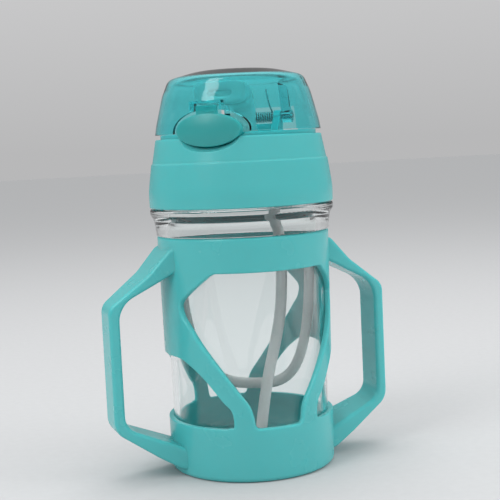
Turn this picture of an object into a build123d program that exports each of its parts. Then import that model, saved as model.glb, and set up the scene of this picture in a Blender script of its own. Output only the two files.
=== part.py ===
from build123d import *
import os
from math import cos, hypot, radians, sin, tan

# Child's glass straw cup in a handled sleeve.  Millimetres, +Z up.  The origin is the centre of
# the sleeve's underside.  The handles lie along X and the sleeve's front window faces -Y.
# The cap is described in its own frame, button towards -Y, and turned into place about Z.

# ---- driving dimensions ----
gap = 0.05                      # gap between pieces that touch or are pressed together
cap_azimuth = -40.0             # where the cap stops, turned from the sleeve's front

# sleeve
foot_r, ring_r = 37.0, 38.4     # outer radius at the foot and at the top ring
ring_top = 105.0
cup_top, ring_bottom = 23.5, 90.2
floor_thick = 3.0
window_r = 38.2                 # radius the window widths are stated at
handle_out = 65.1               # how far the grip stands out from the axis
grip_in = 60.4
handle_root_w, handle_grip_w = 25.0, 16.0
handle_round = 1.5
front_round, side_round = 0.9, 0.4   # rounding of the windows' outer edges

# glass bottle
fit_gap = 0.12                  # bottle to sleeve, all round
body_low_r, body_top_r = 34.9, 35.75
glass_wall = 2.4
base_thick = 4.5
bead_r, bead_top = 41.0, 117.0
neck_r, neck_top = 35.4, 131.0
bore_r = 33.2

# screw thread, right hand
pitch = 5.0
thread_depth = 1.0
thread_w = 1.9
thread_gap = 0.25
thread_turns = 1.4
thread_z = 122.1

# cap
cap_bottom, cap_rim = 117.5, 147.5
cap_r, cap_rim_r = 41.0, 36.9
core_r = 38.3
ceiling_z, ceiling_thick = 133.6, 1.8
deck_z, deck_thick, deck_r = 149.2, 1.9, 34.6

# cover and its hinge
cover_z, cover_top = 149.5, 177.6
cover_wall = 1.8
hinge_y, hinge_z = 30.5, 156.0
pin_r, pin_half = 1.25, 17.0
notch_half, notch_top = 18.7, 160.5
boss_r = 3.0
run_gap = 0.05                  # radial clearance where a piece turns on a pin

# button
button_a, button_b, button_z = 14.5, 7.0, 150.5
button_pivot_y, button_pivot_z = -30.6, 145.6
button_pin_r = 0.9

# silicone
tube_r, tube_bore = 2.6, 1.7
spout_y = 8.0
socket_x, socket_y = 9.5, 9.35  # the straw's socket, beside the spout


# ---- helpers ----
def outline(points):
    """A closed face from (x, y, corner radius) points."""
    corners = [(x, y) for x, y, _ in points]
    return make_face(FilletPolyline(*corners, radius=[r for _, _, r in points], close=True))


def turned(points):
    """A solid of revolution from (radius, z, corner radius) points."""
    return revolve(Plane.XZ * outline(points), Axis.Z)


def disc(r, z_low, z_high, x=0.0, y=0.0):
    """An upright cylinder between two heights."""
    return Pos(x, y, (z_low + z_high) / 2) * Cylinder(r, z_high - z_low)


def block(x, y, z):
    """A box from its (low, high) spans."""
    centre = [(low + high) / 2 for low, high in (x, y, z)]
    return Pos(*centre) * Box(x[1] - x[0], y[1] - y[0], z[1] - z[0])


def cross_rod(r, x_low, x_high, y, z):
    """A round rod along X."""
    return Pos((x_low + x_high) / 2, y, z) * Rot(0, 90, 0) * Cylinder(r, x_high - x_low)


def side_plate(points, x_low, x_high):
    """A plate cut to (y, z, corner radius) points, between two X values."""
    return Pos(x_low, 0, 0) * extrude(Plane.YZ * outline(points), x_high - x_low)


def oval_rod(a, b, z, y_low, y_high):
    """An elliptic rod along Y."""
    face = Plane.XZ * Pos(0, z) * Ellipse(a, b)
    return Pos(0, y_high, 0) * extrude(face, y_high - y_low)


def tube(points, r, bore=0.0):
    """A round tube along a smooth line through points."""
    path = Spline(*points)
    section = Circle(r) - Circle(bore) if bore else Circle(r)
    return sweep(Plane(origin=path @ 0, z_dir=path % 0) * section, path=path)


def coil(r, wire, coil_pitch, length):
    """A round-wire coil round Z, starting at z = 0."""
    path = Helix(coil_pitch, length, r)
    return sweep(Plane(origin=path @ 0, z_dir=path % 0) * Circle(wire), path=path, is_frenet=True)


def thread(root_r, crest_r, z):
    """A ridge of trapezoid section that climbs round Z, from its root to its crest."""
    path = Pos(0, 0, z) * Helix(pitch, pitch * thread_turns, root_r)
    out = 1 if crest_r > root_r else -1
    rise, sunk = abs(crest_r - root_r), 0.3
    half, tip = thread_w / 2, thread_w / 4
    section = make_face(Polyline((-sunk * out, -half), (rise * out, -tip), (rise * out, tip),
                                 (-sunk * out, half), close=True))
    start = Plane(origin=path @ 0, x_dir=(1, 0, 0), z_dir=path % 0)
    return sweep(start * section, path=path, is_frenet=True)


def capped(shape):
    """Turns a piece of the cap from the cap's own frame to where the cap stops."""
    return Rot(0, 0, cap_azimuth) * shape


# ---- sleeve ----
def window(half_outline, azimuth):
    """A cutter for one window, from half its outline as (arc, z) points, square to the wall."""
    far, near = 45.0, 3.0
    points = [(far * tan(arc / window_r), z) for arc, z in half_outline]
    right = Spline(*points)
    left = mirror(right, Plane.YZ)
    face = make_face([right, Line(right @ 1, left @ 1), left, Line(left @ 0, right @ 0)])
    slim = scale(face, by=(near / far, 1, 1))
    sections = [Plane(origin=(0, -distance, 0), x_dir=(1, 0, 0), z_dir=(0, -1, 0)) * shape
                for shape, distance in ((slim, near), (face, far))]
    return Rot(0, 0, azimuth) * loft(sections, ruled=True)


def cut_window(wall, half_outline, azimuth, rounding):
    """The wall with one window cut through it and the window's outer edge rounded."""
    old_edges = wall.edges()
    wall = wall - window(half_outline, azimuth)
    new_edges = wall.edges() - old_edges
    rim = new_edges.filter_by(lambda e: hypot((e @ 0.5).X, (e @ 0.5).Y) > foot_r - 0.1)
    return fillet(rim, rounding)


def handle():
    """One side handle along +X: a bent strap that narrows towards the grip."""
    side = outline([
        (32, 103.2, 0), (38.4, 99.8, 6), (47.5, 89.8, 20), (handle_out, 76.4, 6.5),
        (handle_out, 22.4, 8), (46.6, 9.6, 20), (37.4, 4.0, 3), (32, 2.4, 0), (32, 11.6, 0),
        (46.1, 17.7, 10), (grip_in, 23.8, 8), (grip_in, 77.4, 12), (45.5, 85.1, 10), (32, 92.2, 0)])
    strap = Pos(0, 15, 0) * extrude(Plane.XZ * side, 30)
    root, grip = handle_root_w / 2, handle_grip_w / 2
    taper = make_face(Polyline((30, -root - 0.9), (handle_out + 2, -grip + 0.4),
                               (handle_out + 2, grip - 0.4), (30, root + 0.9), close=True))
    strap = strap & extrude(taper, 120)
    long_edges = strap.edges().filter_by(lambda e: abs(e.center().Y) > 5 and e.center().X > 33)
    return fillet(long_edges, handle_round)


def bottle_room(clear):
    """The room the bottle needs inside the sleeve, as a solid."""
    low = floor_thick
    return turned([(0, low, 0), (body_low_r + clear, low, 5), (body_top_r + clear, ring_top, 0),
                   (body_top_r + clear, ring_top + 5, 0), (0, ring_top + 5, 0)])


def handle_sleeve():
    wall = turned([(0, 0.8, 0), (28, 0.8, 0.5), (29, 0, 0.5), (foot_r, 0, 2.2),
                   (ring_r, ring_top, 1.0), (0, ring_top, 0)]) - bottle_room(fit_gap)
    front = [(9.6, cup_top), (11.0, 24.6), (11.6, 27), (12.6, 31.5), (16, 36.8), (24.7, 47.8),
             (35, 60.2), (42, 68.8), (45, 72.9), (45.7, 75.4), (44.3, 78.2), (40.5, 81), (35, 84.8),
             (29.6, 88.5), (27.6, 89.7), (25.4, ring_bottom)]
    side = [(36.6, cup_top), (38.3, 23.9), (39.3, 25.2), (39.2, 27.8), (36.6, 33.4), (28.4, 42.6),
            (18.6, 50.2), (13.5, 52.4), (8, 53)]
    for turn in (0, 180):
        wall = cut_window(wall, front, turn, front_round)
        wall = cut_window(wall, side, turn + 90, side_round)
    grips = [handle(), Rot(0, 0, 180) * handle()]
    return wall + [grip - bottle_room(fit_gap) for grip in grips]


# ---- bottle ----
def glass_bottle():
    low = floor_thick + gap
    outside = turned([
        (0, low + 1.2, 0), (24, low + 1.2, 3), (27, low, 2), (body_low_r, low, 5),
        (body_top_r, ring_top + gap, 0.1), (38.6, ring_top + gap, 0.6), (39.0, 109, 4),
        (39.6, 112, 3), (bead_r, 114.6, 1.6), (bead_r, bead_top, 1.0), (neck_r, bead_top, 0.5),
        (neck_r, neck_top, 0.8), (0, neck_top, 0)])
    inside = turned([
        (0, low + base_thick, 0), (body_low_r - glass_wall, low + base_thick, 6),
        (bore_r, 100, 20), (bore_r, neck_top + 1, 0), (0, neck_top + 1, 0)])
    ridge = thread(neck_r, neck_r + thread_depth, thread_z)
    return (outside + ridge) - inside


def spare_straw():
    """A spare silicone tube that springs open in a U against the bottle's back wall."""
    hug_r, middle, low, rise = 29.6, 152.0, 29.0, 62.0
    right_span, left_span = 81.5, 98.5
    steps = [i / 7 for i in range(-7, 8)]
    angles = [radians(middle + (left_span if t > 0 else right_span) * t) for t in steps]
    heights = [low + rise * abs(t) ** 2.65 for t in steps]
    points = [(hug_r * sin(a), -hug_r * cos(a), z) for a, z in zip(angles, heights)]
    return tube(points, tube_r, tube_bore)


# ---- cap ----
def cap_envelope(shrink):
    """The outside of the cap as a solid, grown inwards by shrink."""
    return turned([
        (0, cap_bottom, 0), (cap_r - shrink, cap_bottom, 0.6), (cap_r + 0.15 - shrink, 124, 30),
        (39.4 - shrink, 136.5, 0.4), (38.8 - shrink, 137.2, 0.4), (cap_rim_r - shrink, cap_rim, 0.7),
        (0, cap_rim, 0)])


def cap_shell():
    hollow = turned([
        (0, cap_bottom - 1, 0), (core_r + gap, cap_bottom - 1, 0), (core_r + gap, 130.5, 0.5),
        (37.6, 132, 0.5), (37.6, ceiling_z + ceiling_thick + gap, 0.3),
        (36.6, 137.5, 0.5), (35.2, deck_z - deck_thick, 1), (0, deck_z - deck_thick, 0)])
    shell = cap_envelope(0) - hollow
    shell += disc(deck_r, deck_z - deck_thick, deck_z)
    shell += block((-23, 23), (-37, -31.4), (138, deck_z)) & cap_envelope(0.3)
    scoop = Pos(0, -38.5, button_z) * scale(Sphere(1), by=(20.7, 6, 9.1))
    shell -= scoop
    shell -= oval_rod(button_a + 0.5, button_b + 0.5, button_z, -50, -29.5)
    shell -= disc(6.6 + gap, 140, 155, 0, spout_y)
    shell -= block((-6.3, 6.3), (-33, -27.9), (142.5, deck_z + 1))
    pivot = (button_pivot_y, button_pivot_z)
    for side in (-1, 1):
        near, far = sorted((side * 6.4, side * 9.0))
        ear = block((near, far), (-31.5, -28.6), (143.6, deck_z - 0.5))
        shell += ear - cross_rod(button_pin_r + 0.02, near, far, *pivot)
        near, far = sorted((side * 7.8, side * 11.2))
        boss = cross_rod(boss_r, near, far, hinge_y, hinge_z)
        foot = side_plate([(hinge_y - boss_r, hinge_z, 0), (hinge_y + boss_r, hinge_z, 0),
                           (30.4, deck_z - 0.5, 0), (22, deck_z - 0.5, 0)], near, far)
        shell += (boss + foot) - cross_rod(pin_r + 0.02, near - 1, far + 1, hinge_y, hinge_z)
    shell += block((-4.5, 4.5), (-25.4, -24.0), (deck_z - 0.5, 154.6))
    shell += block((-5.6, 8.5), (26.5, 32.4), (deck_z - 0.5, 152.9))
    return capped(shell)


def cap_core():
    inner_r = neck_r + thread_depth + thread_gap
    top = ceiling_z + ceiling_thick
    core = turned([(0, ceiling_z, 0), (inner_r, ceiling_z, 0.8), (inner_r, 118.4, 0.4),
                   (core_r, 118.4, 0.3), (core_r, 130.4, 0.6), (37.5, 131.9, 0.5), (37.5, top, 0.4),
                   (0, top, 0)])
    ridge = thread(inner_r, neck_r + thread_gap, thread_z - pitch / 2)
    core += ridge
    core -= disc(3.2, ceiling_z - 1, top + 1, 0, spout_y)
    core -= disc(2.0, ceiling_z - 1, top + 1, -14, spout_y)
    return capped(core)


def neck_seal():
    low, high = neck_top + gap, ceiling_z - gap
    return turned([(bore_r + 0.2, low, 0.6), (36.2, low, 0.6), (36.2, high, 0.6),
                   (bore_r + 0.2, high, 0.6)])


def straw_connector():
    """The socket under the cap that leads the spout's bore sideways to the straw."""
    plate = Pos(4.5, spout_y + 1) * SlotOverall(24, 11)
    low, high = 128.0, ceiling_z - gap
    socket = Pos(0, 0, low) * extrude(plate, high - low)
    socket += disc(3.9, 124.6, low + 1, socket_x, socket_y)
    socket += disc(3.1, high - 1, ceiling_z + 1.2, 0, spout_y)
    socket -= disc(1.8, 129.5, ceiling_z + 3, 0, spout_y)
    socket -= disc(tube_r + 0.4, 121, 127.9, socket_x, socket_y)
    socket -= disc(tube_bore, 121, 131, socket_x, socket_y)
    socket -= block((-0.5, 9), (spout_y - 0.2, 10.4), (129.5, 131.5))
    return capped(socket)


def straw_tube():
    """The drinking straw, hanging from the socket in a soft S down to the floor."""
    top = capped(Pos(socket_x, socket_y, 127.4)).position
    line = [(top.X, top.Z), (14.6, 120), (17.8, 106), (18.5, 90), (16.4, 64), (9.9, 39), (4.4, 9.5)]
    return tube([(x, top.Y, z) for x, z in line], tube_r, tube_bore)


def vent_valve():
    """An umbrella valve that lets air in through the cap's ceiling."""
    stem_r = 2.0 - gap
    valve = turned([(0, ceiling_z - 1.6, 0), (4.6, ceiling_z - 1.1, 0.2), (4.6, ceiling_z - gap, 0.2),
                    (stem_r, ceiling_z - gap, 0), (stem_r, 135.4 + gap, 0), (3.0, 135.4 + gap, 0.2),
                    (2.4, 137.4, 0.6), (0, 137.8, 0)])
    return capped(Pos(-14, spout_y, 0) * valve)


def spout_root():
    """The fixed foot of the silicone spout, from the ceiling up through the deck."""
    low = ceiling_z + ceiling_thick + gap
    foot = turned([(0, low, 0), (9.5, low, 0.4), (9.5, low + 1.8, 0.4), (6.6, low + 2.4, 0.5),
                   (6.6, 150.0, 0.5), (5.8, 152, 1), (5.8, 158.4, 0.8), (0, 158.4, 0)])
    foot = foot - disc(3.2, low - 1, 160)
    return capped(Pos(0, spout_y, 0) * foot)


def spout_tip():
    """The folded mouthpiece: a flat oval end that narrows back to the bend."""
    front = Plane(origin=(0, -20.5, 166.1), x_dir=(1, 0, 0), z_dir=(0, 1, 0.1))
    middle = Plane(origin=(0, -9, 166.6), x_dir=(1, 0, 0), z_dir=(0, 1, 0))
    rear = Plane(origin=(0, 3.5, 165.4), x_dir=(1, 0, 0), z_dir=(0, 1, -0.35))
    body = loft([front * RectangleRounded(24, 10.4, 4.8), middle * RectangleRounded(19, 10.6, 5),
                 rear * RectangleRounded(13, 11, 5)])
    bore = loft([front * RectangleRounded(14, 3, 1.4), rear * RectangleRounded(6, 6, 2.9)])
    return capped(body - bore)


# ---- button ----
def latch_button():
    half = button_b + 0.3
    crown = make_face(Polyline((35.6, button_z - half), (37.1, button_z - half))
                      + ThreePointArc((37.1, button_z - half), (38.6, button_z),
                                      (37.1, button_z + half))
                      + Polyline((37.1, button_z + half), (35.6, button_z + half),
                                 (35.6, button_z - half)))
    face = revolve(Plane.XZ * crown, Axis.Z) & oval_rod(button_a, button_b, button_z, -45, -20)
    rim = face.edges().filter_by(lambda e: hypot((e @ 0.5).X, (e @ 0.5).Y) > 36.3)
    face = fillet(rim, 0.6)
    stem = oval_rod(button_a - 3, button_b - 2, button_z, -36.4, -32.4)
    stem -= block((-20, 20), (-40, -30), (155.4, 160))
    lug = block((-5.9, 5.9), (-32.6, -28.9), (button_pivot_z - 1.7, 149.6))
    nib = block((-4.6, 4.6), (-36.6, -35.0), (155.5, 160.6))
    button = (face + stem + lug + nib)
    return capped(button - cross_rod(button_pin_r + run_gap, -20, 20, button_pivot_y, button_pivot_z))


def button_pin():
    return capped(cross_rod(button_pin_r, -8.9, 8.9, button_pivot_y, button_pivot_z))


def button_spring():
    """A compression coil between the button's stem and the post on the deck."""
    spring = coil(1.6, 0.3, 1.0, 6.0)
    return capped(Pos(0, -25.8, 152.4) * Rot(90, 0, 0) * spring)


# ---- cover ----
def cover_profile(inset):
    """Half outline of the cover's outside, drawn in by inset."""
    return turned([
        (0, cover_z, 0), (36.9 - inset, cover_z, 0), (36.2 - inset, 153.6, 20),
        (33.0 - inset, 166.2, 18), (30.0 - inset, 173.4 - inset / 2, 4.5),
        (17.5 - inset / 2, 176.6 - inset, 40), (0, cover_top - inset, 0)])


def flip_cover():
    dome = cover_profile(0) - Pos(0, 0, -0.01) * cover_profile(cover_wall)
    dome -= oval_rod(17.3, 8.9, 150.3, -45, -20)
    dome -= block((-notch_half, notch_half), (20, 45), (cover_z - 1, notch_top))
    hood = block((-7, 7), (-37.6, -32.5), (158.6, 162.6)) - cover_profile(cover_wall)
    dome += hood
    dome -= block((-6, 6), (-36.9, -28), (150, 161.6))
    pivot_y, pivot_z = hinge_y, hinge_z
    for side in (-1, 1):
        near, far = sorted((side * 12.0, side * 16.4))
        plate = side_plate([(pivot_y - boss_r, pivot_z, 0), (pivot_y + boss_r, pivot_z, 0),
                            (35, 162, 0), (35, 176, 0), (23, 176, 0)], near, far)
        lug = (plate & cover_profile(0.6)) + cross_rod(boss_r, near, far, pivot_y, pivot_z)
        dome += lug
        dome -= cross_rod(pin_r + run_gap, near - 1, far + 1, pivot_y, pivot_z)
    return capped(dome)


def hinge_pin():
    return capped(cross_rod(pin_r, -pin_half, pin_half, hinge_y, hinge_z))


def cover_spring():
    """A torsion coil round the hinge pin, one leg on the deck and one under the cover."""
    wire, r, half = 0.4, 2.1, 6.6
    wound = Pos(-half, hinge_y, hinge_z) * Rot(0, 90, 0) * coil(r, wire, 1.1, 2 * half)
    low_leg = tube([(-half, hinge_y, hinge_z - r), (-half, 26, hinge_z - 4),
                    (-half, 21.5, deck_z + wire + 0.1)], wire)
    high_leg = tube([(half, hinge_y, hinge_z + r), (half, 26, 162), (half, 22, 169)], wire)
    return capped(wound + low_leg + high_leg)


# ---- write each piece ----
pieces = {
    "handle_sleeve": handle_sleeve,
    "glass_bottle": glass_bottle,
    "spare_straw": spare_straw,
    "neck_seal": neck_seal,
    "cap_shell": cap_shell,
    "cap_core": cap_core,
    "straw_connector": straw_connector,
    "straw_tube": straw_tube,
    "vent_valve": vent_valve,
    "spout_root": spout_root,
    "spout_tip": spout_tip,
    "latch_button": latch_button,
    "button_pin": button_pin,
    "button_spring": button_spring,
    "flip_cover": flip_cover,
    "hinge_pin": hinge_pin,
    "cover_spring": cover_spring,
}
os.makedirs("parts", exist_ok=True)
for name, make in pieces.items():
    piece = make()
    piece.label = name
    export_step(piece, f"parts/{name}.step")
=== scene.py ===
import math
import bmesh
import bpy
import numpy as np
from mathutils import Matrix, Vector


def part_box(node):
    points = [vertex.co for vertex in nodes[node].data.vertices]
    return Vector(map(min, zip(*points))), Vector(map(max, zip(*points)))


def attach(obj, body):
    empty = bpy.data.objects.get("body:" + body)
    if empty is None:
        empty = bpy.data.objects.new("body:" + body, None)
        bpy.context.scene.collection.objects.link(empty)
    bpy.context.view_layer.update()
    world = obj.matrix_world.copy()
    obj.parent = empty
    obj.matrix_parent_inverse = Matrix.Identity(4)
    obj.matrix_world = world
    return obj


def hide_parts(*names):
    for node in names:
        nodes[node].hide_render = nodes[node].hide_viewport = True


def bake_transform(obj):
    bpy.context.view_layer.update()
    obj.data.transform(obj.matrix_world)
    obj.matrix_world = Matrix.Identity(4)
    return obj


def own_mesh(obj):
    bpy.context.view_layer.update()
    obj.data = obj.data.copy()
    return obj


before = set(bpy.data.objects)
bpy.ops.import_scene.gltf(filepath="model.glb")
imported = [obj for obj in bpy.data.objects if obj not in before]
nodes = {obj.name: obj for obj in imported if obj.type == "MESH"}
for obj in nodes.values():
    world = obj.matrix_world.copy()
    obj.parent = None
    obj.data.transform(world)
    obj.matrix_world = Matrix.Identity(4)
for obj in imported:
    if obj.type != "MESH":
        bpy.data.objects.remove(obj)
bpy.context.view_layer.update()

MM = 0.001
MICRON = 0.000001
CAP_TURN = math.radians(-40)      # the cap's own frame, turned about Z to where the cap stops
CEILING = (133.6, 135.5)          # heights of the cap's ceiling: its underside, and just above its top

# ---- colours, linear light ----
TURQUOISE = (0.080, 0.470, 0.478)
TURQUOISE_PALE = (0.135, 0.560, 0.565)
# painted shade: the cap's turquoise darkened to how the button looks in shade
BUTTON_TEAL_PAINTED_SHADE = (0.022, 0.315, 0.310)
# painted shade: the cap's turquoise darkened and deepened to how it looks in the shade under the cap
CORE_TEAL_PAINTED_SHADE = (0.015, 0.400, 0.430)
COVER_TINT = (0.50, 0.955, 0.965)
CLEAR = (0.950, 0.985, 0.982)
MILKY = (0.860, 0.930, 0.915)
TEAL_SILICONE = (0.060, 0.400, 0.420)
STEEL = (0.560, 0.565, 0.570)
PALE_FLOOR = (0.545, 0.552, 0.560)
SKY = ((0.0, 0.48), (0.2, 0.62), (1.0, 1.0))     # grey of the surroundings, from level to straight up
MIRRORED_SKY = 0.5                               # share of their brightness left in reflections


# ---- materials ----
class Look:
    """A material being built: its node tree, its main shader and short ways to add nodes."""

    def __init__(self, name, colour, roughness):
        self.material = bpy.data.materials.new(name)
        self.material.use_nodes = True
        self.tree = self.material.node_tree
        self.shader = self.tree.nodes["Principled BSDF"]
        self.output = self.tree.nodes["Material Output"]
        self.place = self.node("ShaderNodeTexCoord").outputs["Object"]
        self.set("Base Color", (*colour, 1))
        self.set("Roughness", roughness)

    def node(self, kind, **settings):
        made = self.tree.nodes.new(kind)
        for name, value in settings.items():
            setattr(made, name, value)
        return made

    def link(self, source, target):
        self.tree.links.new(source, target)

    def set(self, name, value):
        """Gives one input of the main shader a plain value or a link."""
        socket = self.shader.inputs[name]
        if isinstance(value, bpy.types.NodeSocket):
            self.link(value, socket)
        else:
            socket.default_value = value

    def noise(self, size, detail=2.0, stretch=(1, 1, 1)):
        """Soft noise whose spots are about size metres across, drawn out along an axis by stretch."""
        spread = self.node("ShaderNodeMapping")
        spread.inputs["Scale"].default_value = stretch
        self.link(self.place, spread.inputs["Vector"])
        noise = self.node("ShaderNodeTexNoise")
        noise.inputs["Scale"].default_value = 1 / size
        noise.inputs["Detail"].default_value = detail
        self.link(spread.outputs["Vector"], noise.inputs["Vector"])
        return noise.outputs["Fac"]

    def ranged(self, value, low, high, start=0.3, end=0.7):
        """Takes value from start..end to low..high."""
        spread = self.node("ShaderNodeMapRange")
        for name, number in (("From Min", start), ("From Max", end), ("To Min", low), ("To Max", high)):
            spread.inputs[name].default_value = number
        self.link(value, spread.inputs["Value"])
        return spread.outputs["Result"]

    def mixed(self, share, colour_a, colour_b):
        """A colour between colour_a and colour_b."""
        mix = self.node("ShaderNodeMix", data_type="RGBA")
        self.link(share, mix.inputs["Factor"])
        mix.inputs["A"].default_value = (*colour_a, 1)
        mix.inputs["B"].default_value = (*colour_b, 1)
        return mix.outputs["Result"]

    def relief(self, heights, edge=0.0):
        """Bumps the surface by (height, depth in metres) pairs, over edges rounded by edge."""
        normal = None
        if edge:
            bevel = self.node("ShaderNodeBevel", samples=4)
            bevel.inputs["Radius"].default_value = edge
            normal = bevel.outputs["Normal"]
        for height, depth in heights:
            bump = self.node("ShaderNodeBump")
            bump.inputs["Distance"].default_value = depth
            self.link(height, bump.inputs["Height"])
            if normal:
                self.link(normal, bump.inputs["Normal"])
            normal = bump.outputs["Normal"]
        self.set("Normal", normal)

    def lets_light_through(self, tint=(1, 1, 1)):
        """Shadow rays pass the surface tinted, in place of dark caustic shadows."""
        clear = self.node("ShaderNodeBsdfTransparent")
        clear.inputs["Color"].default_value = (*tint, 1)
        ray = self.node("ShaderNodeLightPath")
        mix = self.node("ShaderNodeMixShader")
        self.link(ray.outputs["Is Shadow Ray"], mix.inputs["Fac"])
        self.link(self.shader.outputs["BSDF"], mix.inputs[1])
        self.link(clear.outputs["BSDF"], mix.inputs[2])
        self.link(mix.outputs["Shader"], self.output.inputs["Surface"])


def moulded_plastic(name, colour, pale, roughness, edge=0.0):
    """Coloured injection-moulded plastic: faint flow marks, fine orange peel, rubbed spots."""
    look = Look(name, colour, roughness)
    flow = look.noise(0.034, detail=3, stretch=(1, 1, 0.45))
    look.set("Base Color", look.mixed(look.ranged(flow, 0.0, 0.12), colour, pale))
    rubbed = look.noise(0.014, detail=3)
    look.set("Roughness", look.ranged(rubbed, roughness - 0.03, roughness + 0.05))
    look.set("Specular IOR Level", 0.45)
    look.set("Subsurface Weight", 0.4)
    look.set("Subsurface Radius", (0.0012, 0.0060, 0.0060))
    look.set("Subsurface Scale", 1.0)
    peel = look.noise(0.0011, detail=2)
    waves = look.noise(0.016, detail=1)
    look.relief([(peel, 1.5 * MICRON), (waves, 20 * MICRON)], edge)
    return look.material


def clear_glass():
    """Clear pressed glass: smooth, with the slow waves and faint finger marks of a used bottle."""
    look = Look("clear_glass", CLEAR, 0.0)
    look.set("Transmission Weight", 1.0)
    look.set("IOR", 1.47)
    look.set("Specular IOR Level", 0.12)
    marks = look.noise(0.012, detail=4)
    look.set("Roughness", look.ranged(marks, 0.0, 0.02, start=0.5, end=0.8))
    waves = look.noise(0.022, detail=1, stretch=(1, 1, 0.5))
    look.relief([(waves, 120 * MICRON)])
    look.lets_light_through((0.98, 0.99, 0.99))
    return look.material


def clear_teal():
    """See-through teal plastic, darker where it is seen edge on."""
    look = Look("clear_teal", COVER_TINT, 0.02)
    look.set("Transmission Weight", 1.0)
    look.set("IOR", 1.46)
    look.set("Specular IOR Level", 0.1)
    marks = look.noise(0.009, detail=4)
    look.set("Roughness", look.ranged(marks, 0.01, 0.06, start=0.45, end=0.8))
    waves = look.noise(0.018, detail=1)
    look.relief([(waves, 80 * MICRON)])
    depth = look.node("ShaderNodeVolumeAbsorption")
    depth.inputs["Color"].default_value = (0.25, 0.86, 0.89, 1)
    depth.inputs["Density"].default_value = 290
    look.link(depth.outputs["Volume"], look.output.inputs["Volume"])
    look.lets_light_through((0.62, 0.94, 0.95))
    return look.material


def silicone(name, colour, clearness):
    """Soft milky silicone: cloudy, with a dry matt skin and faint draw lines along it."""
    look = Look(name, colour, 0.42)
    look.set("Transmission Weight", clearness)
    look.set("IOR", 1.41)
    cloud = look.noise(0.008, detail=3)
    pale = tuple(min(1, c * 1.12) for c in colour)
    look.set("Base Color", look.mixed(look.ranged(cloud, 0, 1), colour, pale))
    dust = look.noise(0.003, detail=3)
    look.set("Roughness", look.ranged(dust, 0.34, 0.5))
    look.set("Subsurface Weight", 0.5)
    look.set("Subsurface Radius", (0.003, 0.0035, 0.0035))
    look.set("Subsurface Scale", 1.0)
    lines = look.noise(0.0012, detail=2, stretch=(1, 1, 0.06))
    grain = look.noise(0.0007, detail=1)
    look.relief([(lines, 20 * MICRON), (grain, 8 * MICRON)])
    return look.material


def drawn_steel():
    """Bright drawn wire and pin stock with fine lines round it."""
    look = Look("drawn_steel", STEEL, 0.25)
    look.set("Metallic", 1.0)
    worn = look.noise(0.0016, detail=3)
    look.set("Roughness", look.ranged(worn, 0.16, 0.34))
    lines = look.noise(0.0004, detail=2, stretch=(0.1, 0.1, 1))
    look.relief([(lines, 6 * MICRON)])
    return look.material


# ---- shapes ----
def set_material(obj, material):
    obj.data.materials.clear()
    obj.data.materials.append(material)


def skin(name, rings, material, closed_on_itself=True):
    """A smooth mesh over rings of points: the last ring joins the first, or both ends get a lid."""
    mesh = bpy.data.meshes.new(name)
    shape = bmesh.new()
    rows = [[shape.verts.new(point) for point in ring] for ring in rings]
    around = len(rows[0])
    following = rows[1:] + rows[:1] if closed_on_itself else rows[1:]
    for row, after in zip(rows, following):
        for i in range(around):
            j = (i + 1) % around
            shape.faces.new((row[i], row[j], after[j], after[i]))
    if not closed_on_itself:
        shape.faces.new(reversed(rows[0]))
        shape.faces.new(rows[-1])
    bmesh.ops.recalc_face_normals(shape, faces=shape.faces)
    for face in shape.faces:
        face.smooth = True
    shape.to_mesh(mesh)
    shape.free()
    obj = bpy.data.objects.new(name, mesh)
    bpy.context.scene.collection.objects.link(obj)
    set_material(obj, material)
    return obj


def finished_mesh(obj):
    """The object's mesh with its modifiers applied; the modifiers are removed."""
    result = obj.evaluated_get(bpy.context.evaluated_depsgraph_get())
    mesh = bpy.data.meshes.new_from_object(result)
    obj.modifiers.clear()
    return mesh


def smooth_line(points, count):
    """Points evenly spread along the natural cubic spline through the given points."""
    knots = np.array(points, float)
    last = len(knots) - 1
    gaps = np.linalg.norm(np.diff(knots, axis=0), axis=1)
    along = np.concatenate(([0], np.cumsum(gaps)))
    system = np.zeros((last + 1, last + 1))
    pull = np.zeros((last + 1, 3))
    system[0, 0] = system[last, last] = 1
    for i in range(1, last):
        system[i, i - 1:i + 2] = gaps[i - 1], 2 * (gaps[i - 1] + gaps[i]), gaps[i]
        pull[i] = 6 * ((knots[i + 1] - knots[i]) / gaps[i] - (knots[i] - knots[i - 1]) / gaps[i - 1])
    curl = np.linalg.solve(system, pull)
    line = []
    for s in np.linspace(0, along[-1], count):
        i = min(int(np.searchsorted(along, s, side="right")) - 1, last - 1)
        gap = gaps[i]
        b = (s - along[i]) / gap
        a = 1 - b
        bend = ((a ** 3 - a) * curl[i] + (b ** 3 - b) * curl[i + 1]) * gap ** 2 / 6
        line.append(Vector(a * knots[i] + b * knots[i + 1] + bend))
    return line


def frames_along(line):
    """(point, side, up) along a line, turned as little as possible from each to the next."""
    found = []
    side = None
    for i, point in enumerate(line):
        ahead = (line[min(i + 1, len(line) - 1)] - line[max(i - 1, 0)]).normalized()
        if side is None:
            side = ahead.orthogonal()
        side = (side - ahead * side.dot(ahead)).normalized()
        found.append((point, side, ahead.cross(side)))
    return found


def circle(place, radius, around, shift=0.0):
    """A ring of points round a (point, side, up) of a line, shifted along the line; mm to metres."""
    point, side, up = place
    centre = point + side.cross(up) * shift
    turns = [2 * math.pi * i / around for i in range(around)]
    return [(centre + side * radius * math.cos(t) + up * radius * math.sin(t)) * MM for t in turns]


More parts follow.
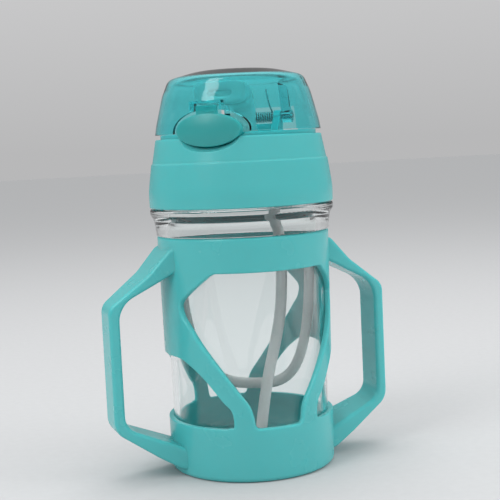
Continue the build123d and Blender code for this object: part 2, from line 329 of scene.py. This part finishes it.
def hose(name, points, outer, bore, material, steps, around=40):
    """A hollow tube with softly rounded ends, along a smooth line through points, in mm."""
    line = frames_along(smooth_line(points, steps))
    half_wall = (outer - bore) / 2
    mid_wall = (outer + bore) / 2
    bulge = half_wall * 0.6           # how far a rounded end stands out
    lip = [math.pi * i / 6 for i in range(1, 6)]
    rings = [circle(place, outer, around) for place in line]
    rings += [circle(line[-1], mid_wall + half_wall * math.cos(t), around, bulge * math.sin(t))
              for t in lip]
    rings += [circle(place, bore, around) for place in reversed(line)]
    rings += [circle(line[0], mid_wall - half_wall * math.cos(t), around, -bulge * math.sin(t))
              for t in lip]
    return skin(name, rings, material)


def lathe(name, outline, material, centre=(0, 0), steps=96, closed_on_itself=True):
    """A turned piece from (radius, z) points in mm, round an upright axis at centre."""
    x, y = centre
    turns = [2 * math.pi * i / steps for i in range(steps)]
    rings = [[Vector((x + r * math.cos(t), y + r * math.sin(t), z)) * MM for t in turns]
             for r, z in outline]
    return skin(name, rings, material, closed_on_itself)


def rounded(corners, arc_steps=4):
    """The (x, y) corners of a closed outline, each (x, y, radius), with its corners rounded."""
    points = []
    for i, (x, y, radius) in enumerate(corners):
        here = Vector((x, y))
        before = Vector(corners[i - 1][:2]) - here
        after = Vector(corners[(i + 1) % len(corners)][:2]) - here
        if radius == 0:
            points.append((x, y))
            continue
        half = before.angle(after) / 2
        reach = min(radius / math.tan(half), before.length * 0.49, after.length * 0.49)
        start = here + before.normalized() * reach
        end = here + after.normalized() * reach
        for k in range(arc_steps + 1):
            t = k / arc_steps
            points.append(tuple(start * (1 - t) ** 2 + here * 2 * t * (1 - t) + end * t ** 2))
    return points


def turned_in_cap(x, y):
    """A point of the cap's own frame, in the row frame, in mm."""
    return (x * math.cos(CAP_TURN) - y * math.sin(CAP_TURN),
            x * math.sin(CAP_TURN) + y * math.cos(CAP_TURN))


# ---- the silicone parts ----
def drinking_straw(material):
    """The straw from the cap's socket down to the floor, in a soft S."""
    socket_x, socket_y = turned_in_cap(9.5, 9.35)
    bends = [(socket_x, 127.2), (14.6, 120), (17.8, 106), (18.5, 90), (16.4, 64), (9.9, 39), (4.4, 9.9)]
    points = [(x, socket_y, z) for x, z in bends]
    straw = hose("drinking_straw", points, outer=2.6, bore=1.7, material=material, steps=150)
    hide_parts("straw_tube")
    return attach(straw, "cap")


def spare_straw(material):
    """The loose second straw, sprung open in a U against the bottle's wall."""
    hug = 29.6                          # radius of its centre line round the bottle's axis
    middle = 152.0                      # where the U's lowest point is, in degrees from the front
    right_span, left_span = 81.5, 98.5  # how far its two ends reach round from there, in degrees
    low, rise, fullness = 29.3, 61.6, 2.65
    half_count = 7
    points = []
    for i in range(-half_count, half_count + 1):
        t = i / half_count
        span = left_span if t > 0 else right_span
        turn = math.radians(middle + span * t)
        height = low + rise * abs(t) ** fullness
        points.append((hug * math.sin(turn), -hug * math.cos(turn), height))
    straw = hose("loose_straw", points, outer=2.55, bore=1.7, material=material, steps=180)
    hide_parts("spare_straw")
    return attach(straw, "bottle")


def folded_spout(material):
    """One soft mouthpiece: foot, neck, pleated bend and flat lip, hollow all through."""
    # outside and bore, each as (y, z) of the centre line in the cap's frame, half widths across and
    # along, and squareness, where 2 is an ellipse
    outside = [
        (8.0, 135.5, 9.4, 9.4, 2.0), (8.0, 137.1, 9.4, 9.4, 2.0), (8.0, 137.9, 6.6, 6.6, 2.0),
        (8.0, 144.0, 6.5, 6.5, 2.0), (8.0, 149.8, 6.5, 6.5, 2.0), (8.0, 151.6, 5.8, 5.8, 2.0),
        (8.0, 154.5, 5.6, 5.5, 2.0), (7.9, 157.0, 6.0, 5.6, 2.1), (7.4, 159.4, 5.7, 4.8, 2.2),
        (6.5, 161.6, 6.2, 5.3, 2.3), (4.8, 163.6, 6.0, 4.8, 2.4), (2.4, 165.1, 6.7, 5.2, 2.6),
        (-1.0, 166.1, 7.3, 5.1, 3.0), (-6.0, 166.5, 8.8, 5.1, 3.4), (-12.0, 166.5, 10.2, 5.0, 3.8),
        (-17.5, 166.3, 11.3, 5.0, 4.2), (-19.2, 166.2, 11.8, 5.15, 4.4), (-20.1, 166.1, 11.7, 5.0, 4.4),
        (-20.5, 166.1, 11.0, 4.4, 4.0)]
    bore = [
        (-20.45, 166.1, 5.4, 1.5, 3.0), (-19.5, 166.1, 4.8, 1.0, 2.6), (-12.0, 166.4, 4.8, 1.6, 2.2),
        (-3.0, 166.0, 4.2, 2.6, 2.0), (3.0, 164.4, 3.4, 3.0, 2.0), (6.4, 161.0, 3.2, 3.1, 2.0),
        (7.8, 156.5, 3.2, 3.2, 2.0), (8.0, 150.0, 3.2, 3.2, 2.0), (8.0, 135.6, 3.3, 3.3, 2.0)]
    around = 56

    def ring(place, direction, half_width, half_depth, squareness):
        ahead = Vector((0, *direction)).normalized()
        across = Vector((1, 0, 0))
        up = ahead.cross(across)
        centre = Vector((0, *place))
        points = []
        for i in range(around):
            t = 2 * math.pi * i / around
            c, s = math.cos(t), math.sin(t)
            u = half_width * math.copysign(abs(c) ** (2 / squareness), c)
            v = half_depth * math.copysign(abs(s) ** (2 / squareness), s)
            points.append((centre + across * u + up * v) * MM)
        return points

    def rings_through(stations, sign):
        """Rings across the centre line; sign is -1 where the stations run back down."""
        found = []
        for i, (y, z, *section) in enumerate(stations):
            before = stations[max(i - 1, 0)]
            after = stations[min(i + 1, len(stations) - 1)]
            direction = (sign * (after[0] - before[0]), sign * (after[1] - before[1]))
            found.append(ring((y, z), direction, *section))
        return found

    rings = rings_through(outside, 1) + rings_through(bore, -1)
    spout = skin("folded_spout", rings, material)
    spout.data.transform(Matrix.Rotation(CAP_TURN, 4, "Z"))
    smooth = spout.modifiers.new("smooth", "SUBSURF")
    smooth.levels = smooth.render_levels = 2
    spout.data = finished_mesh(spout)
    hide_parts("spout_root", "spout_tip")
    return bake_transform(spout)


def button_coil(material):
    """The compression coil between the deck's post and the button, its end turns closed up."""
    coils, radius, wire, length = 6.5, 1.55, 0.3, 5.2
    post_y, axis_z = -25.9, 152.4
    closing = 0.75                      # 0 is an even pitch, 1 lets the end turns touch
    steps = 300
    line = []
    for i in range(steps + 1):
        share = i / steps
        eased = share - math.sin(2 * math.pi * share) / (2 * math.pi) * closing
        turn = 2 * math.pi * coils * share
        x, y = turned_in_cap(radius * math.cos(turn), post_y - length * eased)
        line.append(Vector((x, y, axis_z + radius * math.sin(turn))))
    rings = [circle(place, wire, 12) for place in frames_along(line)]
    coil = skin("button_coil", rings, material, closed_on_itself=False)
    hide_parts("button_spring")
    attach(coil, "cap")
    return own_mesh(coil)


def neck_gasket(material):
    """The flat ring that seals the rim, with two sealing beads on each face."""
    low, high = (corner.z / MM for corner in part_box("neck_seal"))
    inner, outer, bevel = 33.5, 36.1, 0.6
    bead, bead_half_width, bead_from_edge = 0.25, 0.4, 0.7
    near, far = inner + bead_from_edge, outer - bead_from_edge
    base = high - bead
    soft, tight = 0.2, 0.1              # corner radii
    top = [(near - bead_half_width, base, soft), (near, high, soft),
           (near + bead_half_width, base, tight), (far - bead_half_width, base, tight),
           (far, high, soft), (far + bead_half_width, base, soft)]
    bottom = [(r, low + high - z, radius) for r, z, radius in reversed(top)]
    outside = [(outer, high - bevel, soft), (outer, low + bevel, soft)]
    inside = [(inner, low + bevel, soft), (inner, high - bevel, soft)]
    outline = rounded(top + outside + bottom + inside, arc_steps=2)
    ring = lathe("neck_gasket", outline, material, steps=160)
    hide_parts("neck_seal")
    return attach(ring, "seal")


def umbrella_valve(material):
    """The air valve: a thin umbrella under the ceiling on a stem with a barbed head."""
    under, over = CEILING
    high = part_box("vent_valve")[1].z / MM
    core = 0.02                         # radius of the tiny flats that close the ends
    umbrella = [(core, under - 1.5), (1.6, under - 1.5), (3.2, under - 1.25), (4.5, under - 0.7),
                (4.6, under - 0.35), (4.4, under - 0.15), (3.4, under - 0.3), (2.4, under - 0.5)]
    stem = [(1.95, under - 0.3), (1.9, under + 0.8), (1.9, over)]
    barb = [(2.6, over + 0.05), (2.9, over + 0.3), (2.75, over + 0.9), (2.3, over + 1.6),
            (1.5, high - 0.15), (0.8, high), (core, high)]
    place = turned_in_cap(-14, 8)
    valve = lathe("umbrella_valve", umbrella + stem + barb, material, place, 48, closed_on_itself=False)
    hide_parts("vent_valve")
    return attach(valve, "cap")


# ---- surroundings ----
def area_light(name, place, target, size, power, shines=True):
    """A soft lamp aimed at target; one that doesn't shine is not seen in reflections."""
    light = bpy.data.lights.new(name, "AREA")
    light.shape = "RECTANGLE"
    light.size, light.size_y = size
    light.energy = power
    lamp = bpy.data.objects.new(name, light)
    lamp.location = place
    lamp.visible_glossy = shines
    lamp.visible_transmission = False
    lamp.rotation_euler = (Vector(target) - Vector(place)).to_track_quat("-Z", "Y").to_euler()
    bpy.context.scene.collection.objects.link(lamp)
    return lamp


def soft_lights():
    """A key lamp from the left, a fill from the right and one above."""
    middle = (0, 0, 0.09)
    area_light("key", (-0.75, -0.35, 0.85), middle, (0.35, 0.8), 4.6)
    area_light("fill", (0.80, -0.45, 0.40), middle, (0.5, 0.8), 3.3, shines=False)
    area_light("top", (0.1, 0.25, 1.1), middle, (0.7, 0.7), 3.8, shines=False)


def pale_surroundings():
    """An even grey world, lighter upwards, and dimmer where it is mirrored in the cup."""
    world = bpy.data.worlds.new("studio")
    world.use_nodes = True
    tree = world.node_tree
    background = tree.nodes["Background"]

    direction = tree.nodes.new("ShaderNodeTexCoord").outputs["Generated"]
    split = tree.nodes.new("ShaderNodeSeparateXYZ")
    ramp = tree.nodes.new("ShaderNodeValToRGB")
    tree.links.new(direction, split.inputs["Vector"])
    tree.links.new(split.outputs["Z"], ramp.inputs["Fac"])
    tree.links.new(ramp.outputs["Color"], background.inputs["Color"])
    stops = ramp.color_ramp.elements
    for height, _ in SKY[1:-1]:
        stops.new(height)
    for stop, (height, grey) in zip(stops, SKY):
        stop.position = height
        stop.color = (grey, grey, min(grey * 1.01, 1), 1)

    # a ray that was mirrored last is glossy and not transmitted
    ray = tree.nodes.new("ShaderNodeLightPath")
    mirrored = tree.nodes.new("ShaderNodeMath")
    mirrored.operation = "SUBTRACT"
    mirrored.use_clamp = True
    strength = tree.nodes.new("ShaderNodeMapRange")
    strength.inputs["To Min"].default_value = 1.0
    strength.inputs["To Max"].default_value = MIRRORED_SKY
    tree.links.new(ray.outputs["Is Glossy Ray"], mirrored.inputs[0])
    tree.links.new(ray.outputs["Is Transmission Ray"], mirrored.inputs[1])
    tree.links.new(mirrored.outputs["Value"], strength.inputs["Value"])
    tree.links.new(strength.outputs["Result"], background.inputs["Strength"])
    bpy.context.scene.world = world


def pale_floor():
    """A wide matt floor with a trace of paper grain."""
    look = Look("pale_floor", PALE_FLOOR, 0.7)
    look.set("Specular IOR Level", 0.0)
    shade = tuple(c * 0.97 for c in PALE_FLOOR)
    paper = look.noise(0.004, detail=4)
    look.set("Base Color", look.mixed(look.ranged(paper, 0, 1), shade, PALE_FLOOR))
    half = 6.0
    corners = [(-half, -half, 0), (half, -half, 0), (half, half, 0), (-half, half, 0)]
    mesh = bpy.data.meshes.new("floor")
    mesh.from_pydata(corners, [], [(0, 1, 2, 3)])
    floor = bpy.data.objects.new("floor", mesh)
    bpy.context.scene.collection.objects.link(floor)
    set_material(floor, look.material)


def camera():
    """A long lens from the front left, a little above the cup's middle, looking slightly down."""
    distance, height = 0.4992, 0.1438
    orbit = Matrix.Rotation(math.radians(-19.5), 4, "Z")
    yaw, pitch, roll = 0.0058, 0.0947, -0.047
    data = bpy.data.cameras.new("camera")
    data.sensor_width = 36.0
    data.lens = 80.09
    data.clip_start = 0.01
    cam = bpy.data.objects.new("camera", data)
    cam.rotation_mode = "QUATERNION"
    ahead = Vector((math.sin(yaw) * math.cos(pitch), math.cos(yaw) * math.cos(pitch), -math.sin(pitch)))
    right = Vector((math.cos(yaw), -math.sin(yaw), 0))
    up = right.cross(ahead)
    right, up = (right * math.cos(roll) + up * math.sin(roll),
                 up * math.cos(roll) - right * math.sin(roll))
    axes = Matrix((right, up, -ahead)).transposed().to_4x4()
    cam.location = orbit @ Vector((0, -distance, height))
    cam.rotation_quaternion = (orbit @ axes).to_quaternion()
    bpy.context.scene.collection.objects.link(cam)
    bpy.context.scene.camera = cam


# ---- put together ----
sleeve_plastic = moulded_plastic("sleeve_plastic", TURQUOISE, TURQUOISE_PALE, 0.24, edge=0.0003)
cap_plastic = moulded_plastic("cap_plastic", TURQUOISE, TURQUOISE_PALE, 0.22, edge=0.0003)
# the core plastic's colour is painted shade of the cap's turquoise
core_plastic = moulded_plastic("core_plastic", CORE_TEAL_PAINTED_SHADE, TURQUOISE, 0.42)
# the button plastic's colour is painted shade of the cap's turquoise
button_plastic = moulded_plastic("button_plastic", BUTTON_TEAL_PAINTED_SHADE, TURQUOISE, 0.36, edge=0.0002)
milky_silicone = silicone("milky_silicone", MILKY, 0.18)
clear_silicone = silicone("clear_silicone", MILKY, 0.72)
teal_silicone = silicone("teal_silicone", TEAL_SILICONE, 0.1)
steel = drawn_steel()

finishes = {
    "handle_sleeve": (sleeve_plastic, "sleeve"),
    "glass_bottle": (clear_glass(), "glass"),
    "cap_shell": (cap_plastic, "cap"),
    "cap_core": (core_plastic, "core"),
    "flip_cover": (clear_teal(), "cover"),
    "latch_button": (button_plastic, "button"),
    "straw_connector": (teal_silicone, "silicone"),
    "button_pin": (steel, "steel"),
    "hinge_pin": (steel, "steel"),
    "cover_spring": (steel, "steel"),
}
for name, (material, slot) in finishes.items():
    set_material(nodes[name], material)

soft_pieces = [
    drinking_straw(milky_silicone), spare_straw(milky_silicone), folded_spout(clear_silicone),
    neck_gasket(teal_silicone), umbrella_valve(teal_silicone)]
button_coil(steel)

soft_lights()
pale_surroundings()
pale_floor()
camera()
scene = bpy.context.scene
scene.view_settings.view_transform = "Standard"
# the cover, the bottle and the spout put many clear walls behind each other
scene.cycles.transmission_bounces = 16
scene.cycles.transparent_max_bounces = 16
scene.cycles.max_bounces = 18

bpy.context.view_layer.update()
